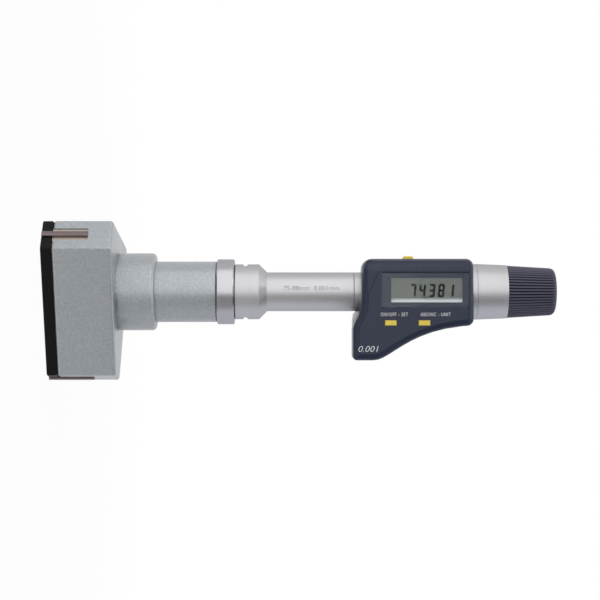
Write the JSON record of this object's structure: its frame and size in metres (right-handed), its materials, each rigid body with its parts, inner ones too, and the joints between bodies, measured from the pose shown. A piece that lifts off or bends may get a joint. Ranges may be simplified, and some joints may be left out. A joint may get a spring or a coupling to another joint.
{
  "type": "inside micrometer",
  "caption": "Digital inside micrometer with a three-point measuring head, a guide tube, a display case and a ratchet knob, for measuring bores.",
  "frame": {"origin": "centre of the flat front face of the measuring head, on which the tool stands", "axes": "+Z along the tool's axis from the head to the ratchet knob; the display looks along -Y; the lobe of the display case points along +X"},
  "size_m": [0.0655, 0.0689, 0.2112],
  "materials": {
    "black_plate": "matt black",
    "grey_paint": "satin grey",
    "satin_steel": "satin",
    "polished_steel": "polished",
    "bronze": "machined",
    "carbide": "ground",
    "slate_plastic": "fine matt",
    "black_plastic": "matt",
    "yellow_key": "matt",
    "clear_window": "clear",
    "lcd": "gloss",
    "pale_plastic": "matt",
    "board": "satin",
    "rubber": "matt",
    "cell": "bright"
  },
  "bodies": {
    "frame": {"front_plate": "black_plate", "plate_screws": "black_plate", "head_block": "grey_paint", "ring_spring": "satin_steel", "neck": "grey_paint", "front_bush": "bronze", "coupling_nut": "polished_steel", "lock_collar": "satin_steel", "guide_tube": "satin_steel", "rear_bush": "bronze", "tube_socket": "satin_steel", "front_shell": "slate_plastic", "back_body": "satin_steel", "case_screws": "satin_steel", "window": "clear_window", "lcd_panel": "lcd", "lcd_holder": "pale_plastic", "circuit_board": "board", "key_pad": "rubber", "top_switch": "black_plastic", "battery": "cell", "battery_contact": "bronze", "battery_seal": "rubber", "battery_cover": "slate_plastic", "inner_sleeve": "satin_steel", "spindle_nut": "bronze", "encoder_stator": "board", "wiper_seal": "rubber"},
    "plunger": {"cone": "polished_steel", "push_rod": "satin_steel", "thrust_ball": "polished_steel"},
    "thimble": {"spindle": "satin_steel", "thimble": "satin_steel", "pawl_spring": "satin_steel", "ratchet_screw": "satin_steel"},
    "ratchet_knob": {"ratchet_knob": "black_plastic", "ratchet_ring": "satin_steel"},
    "encoder_rotor": {"encoder_rotor": "board"},
    "anvil_1": {"anvil_1": "satin_steel", "contact_strip_1": "carbide"},
    "anvil_2": {"anvil_2": "satin_steel", "contact_strip_2": "carbide"},
    "anvil_3": {"anvil_3": "satin_steel", "contact_strip_3": "carbide"},
    "power_button": {"power_button": "yellow_key"},
    "mode_button": {"mode_button": "yellow_key"},
    "top_button": {"top_button": "yellow_key"}
  },
  "joints": [
    {"name": "plunger_slide", "type": "slide", "parent": "frame", "child": "plunger", "axis": [0, 0, -1], "range_m": [0, 0.01362]},
    {"name": "thimble_turn", "type": "hinge", "parent": "plunger", "child": "thimble", "pos_m": [0, 0, 0.185], "axis": [0, 0, -1], "range_deg": [0, 9806.4]},
    {"name": "ratchet_turn", "type": "hinge", "parent": "thimble", "child": "ratchet_knob", "pos_m": [0, 0, 0.2], "axis": [0, 0, -1], "continuous": true, "deforming": ["pawl_spring"]},
    {"name": "encoder_turn", "type": "hinge", "parent": "frame", "child": "encoder_rotor", "pos_m": [0, 0, 0.145], "axis": [0, 0, -1], "range_deg": [0, 9816.4]},
    {"name": "anvil_1_slide", "type": "slide", "parent": "frame", "child": "anvil_1", "axis": [0.9863, -0.165, 0], "range_m": [0, 0.00681], "deforming": ["ring_spring"]},
    {"name": "anvil_2_slide", "type": "slide", "parent": "frame", "child": "anvil_2", "axis": [-0.3502, 0.9367, 0], "range_m": [0, 0.00681]},
    {"name": "anvil_3_slide", "type": "slide", "parent": "frame", "child": "anvil_3", "axis": [-0.6361, -0.7716, 0], "range_m": [0, 0.00681]},
    {"name": "power_press", "type": "slide", "parent": "frame", "child": "power_button", "axis": [0, 1, 0], "range_m": [0, 0.0005], "stiffness_N_per_m": 400},
    {"name": "mode_press", "type": "slide", "parent": "frame", "child": "mode_button", "axis": [0, 1, 0], "range_m": [0, 0.0005], "stiffness_N_per_m": 400},
    {"name": "top_press", "type": "slide", "parent": "frame", "child": "top_button", "axis": [1, 0, 0], "range_m": [0, 0.0005], "stiffness_N_per_m": 400}
  ],
  "couplings": [
    {"joint": "thimble_turn", "follows": "plunger_slide", "rad_per_m": 12566},
    {"joint": "encoder_turn", "follows": "plunger_slide", "rad_per_m": 12566},
    {"joint": "anvil_1_slide", "follows": "plunger_slide", "ratio": 0.5},
    {"joint": "anvil_2_slide", "follows": "plunger_slide", "ratio": 0.5},
    {"joint": "anvil_3_slide", "follows": "plunger_slide", "ratio": 0.5}
  ]
}
